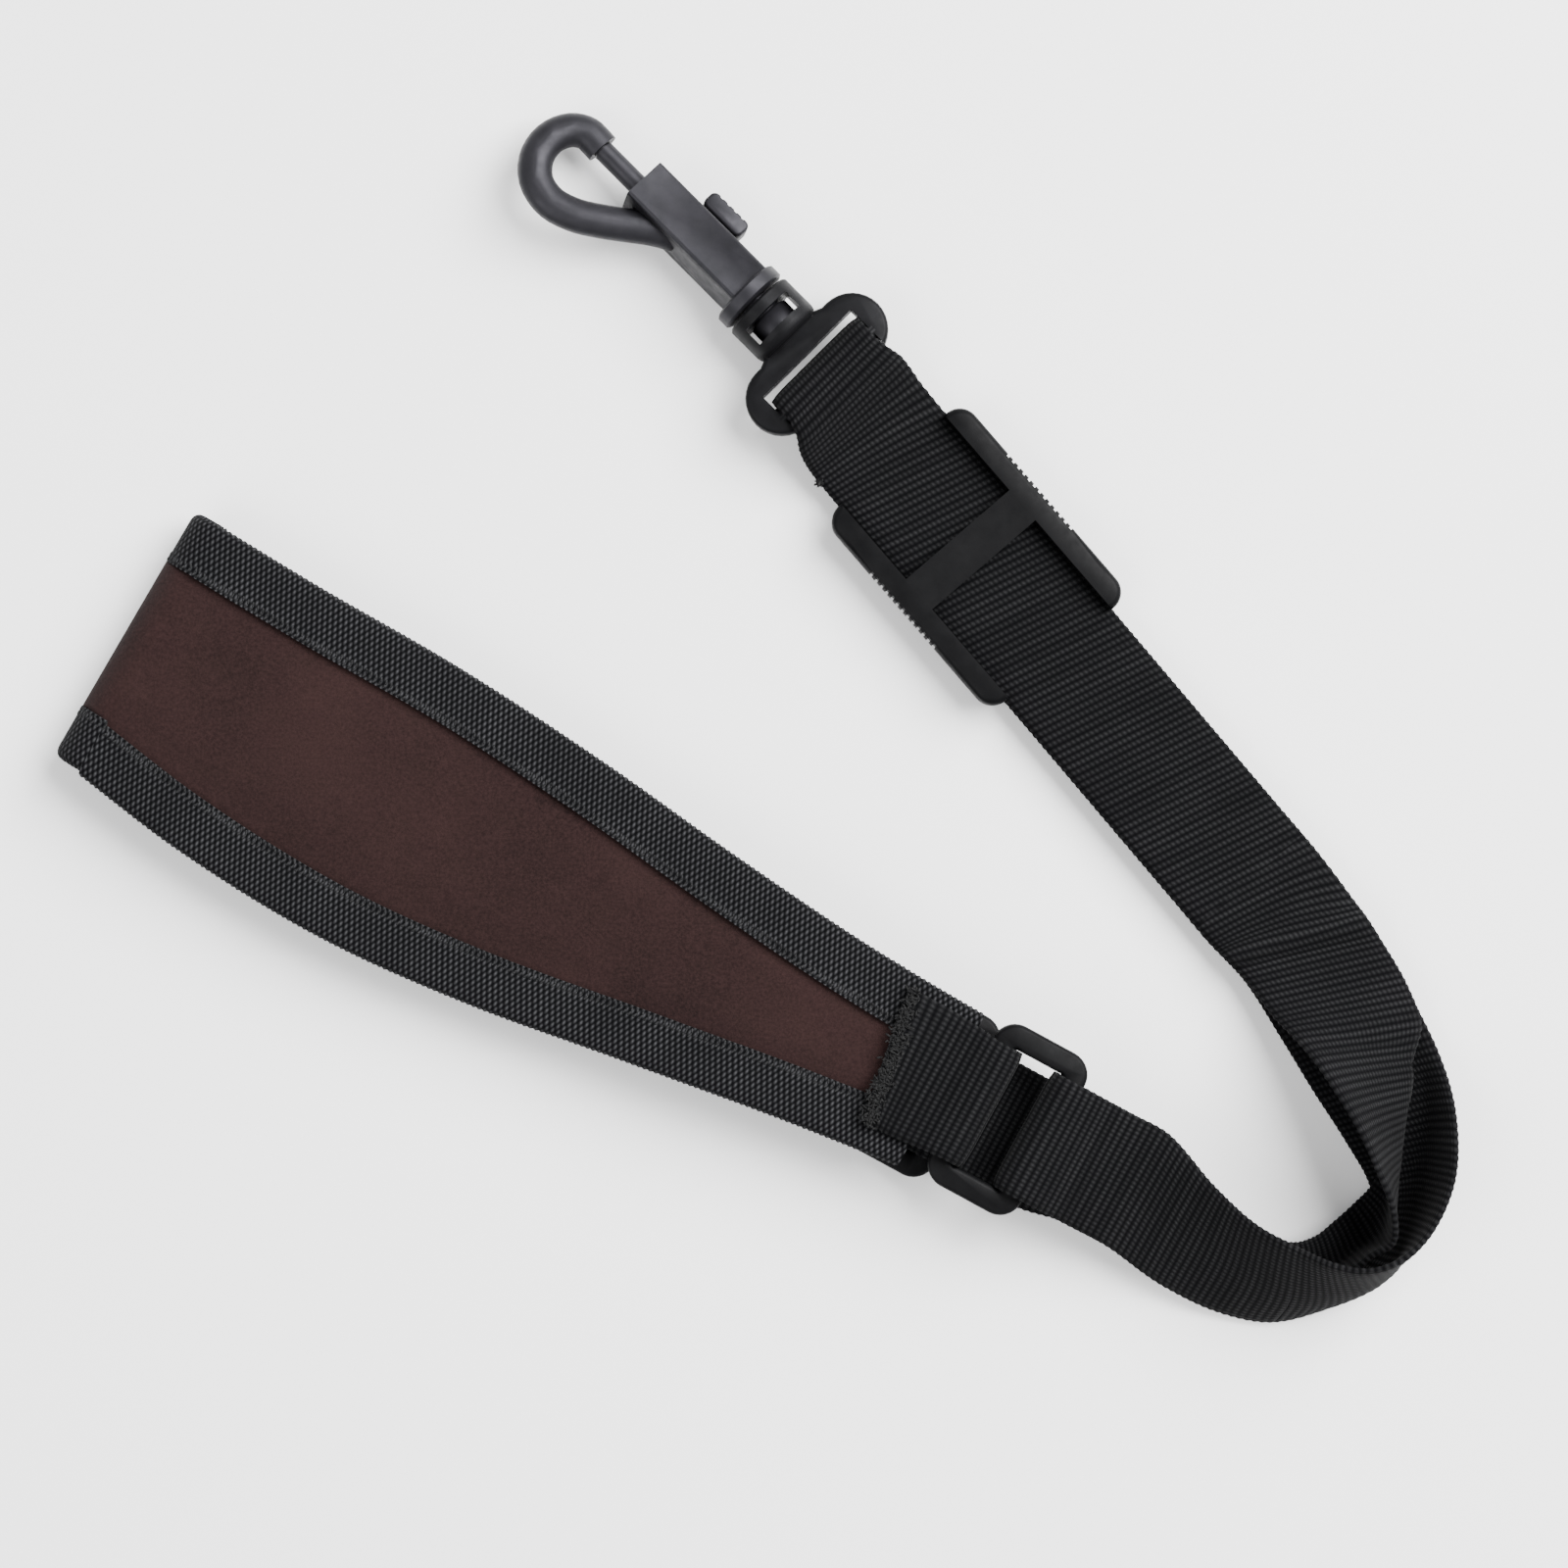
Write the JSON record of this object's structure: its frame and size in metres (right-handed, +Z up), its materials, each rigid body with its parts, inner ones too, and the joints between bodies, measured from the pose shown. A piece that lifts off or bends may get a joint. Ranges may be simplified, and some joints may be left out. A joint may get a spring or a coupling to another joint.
{
  "type": "saxophone neck strap",
  "caption": "Padded saxophone neck strap lying folded: suede pad with bound edges, doubled webbing, slider, two loops and a swivel snap hook.",
  "frame": {"origin": "middle of the bounding box's underside, on the table", "axes": "+X to the right of the strap as laid out, +Y towards the snap hook's end, +Z up from the table"},
  "size_m": [0.2464, 0.2142, 0.0229],
  "materials": {
    "suede": "matt brushed suede",
    "tape": "honeycomb woven binding",
    "webbing": "ribbed woven webbing",
    "foam": "matt foam",
    "lining": "plain weave",
    "plastic": "satin moulded",
    "hook": "satin grey",
    "steel": "bright wire",
    "thread": "thread"
  },
  "bodies": {
    "upper_loop": {"ring_upper": "plastic", "strap_upper_end": "webbing"},
    "lower_loop": {"ring_lower": "plastic", "strap_lower_end": "webbing"},
    "slider": {"slider": "plastic"},
    "swivel_eye": {"swivel_eye": "hook"},
    "hook": {"hook_body": "hook", "gate_spring": "steel"},
    "gate": {"gate_pin": "hook"},
    "strap": {"pad_foam": "foam", "pad_suede": "suede", "pad_lining": "lining", "binding_right": "tape", "binding_left": "tape", "tab_upper": "webbing", "tab_lower": "webbing", "tab_stitch_upper": "thread", "strap_outer_bend": "webbing", "strap_inner_bend": "webbing", "strap_low_ply": "webbing", "strap_high_ply": "webbing", "strap_eye_loop": "webbing"}
  },
  "joints": [
    {"name": "eye_tilt", "type": "hinge", "parent": "strap", "child": "swivel_eye", "pos_m": [0.01253, 0.06081, 0.00765], "axis": [0.7096, 0.7046, 0], "range_deg": [0, 90]},
    {"name": "hook_swivel", "type": "hinge", "parent": "swivel_eye", "child": "hook", "pos_m": [-0.0012, 0.07464, 0.0069], "axis": [-0.7041, 0.709, -0.0384], "continuous": true},
    {"name": "gate_pull", "type": "slide", "parent": "hook", "child": "gate", "axis": [0.7041, -0.709, 0.0384], "range_m": [0, 0.0067], "stiffness_N_per_m": 300, "springref_m": -0.002, "deforming": ["gate_spring"]},
    {"name": "slider_slide", "type": "slide", "parent": "strap", "child": "slider", "axis": [0.6468, -0.7627, 0], "range_m": [0, 0.044]},
    {"name": "upper_loop_tilt", "type": "hinge", "parent": "strap", "child": "upper_loop", "pos_m": [0.03799, -0.06658, 0.0125], "axis": [-0.4787, -0.878, 0], "range_deg": [0, 35], "stiffness_Nm_per_rad": 0.05},
    {"name": "lower_loop_tilt", "type": "hinge", "parent": "strap", "child": "lower_loop", "pos_m": [0.02309, -0.06058, 0.00415], "axis": [-0.4787, -0.878, 0], "range_deg": [-30, 0], "stiffness_Nm_per_rad": 0.05}
  ]
}
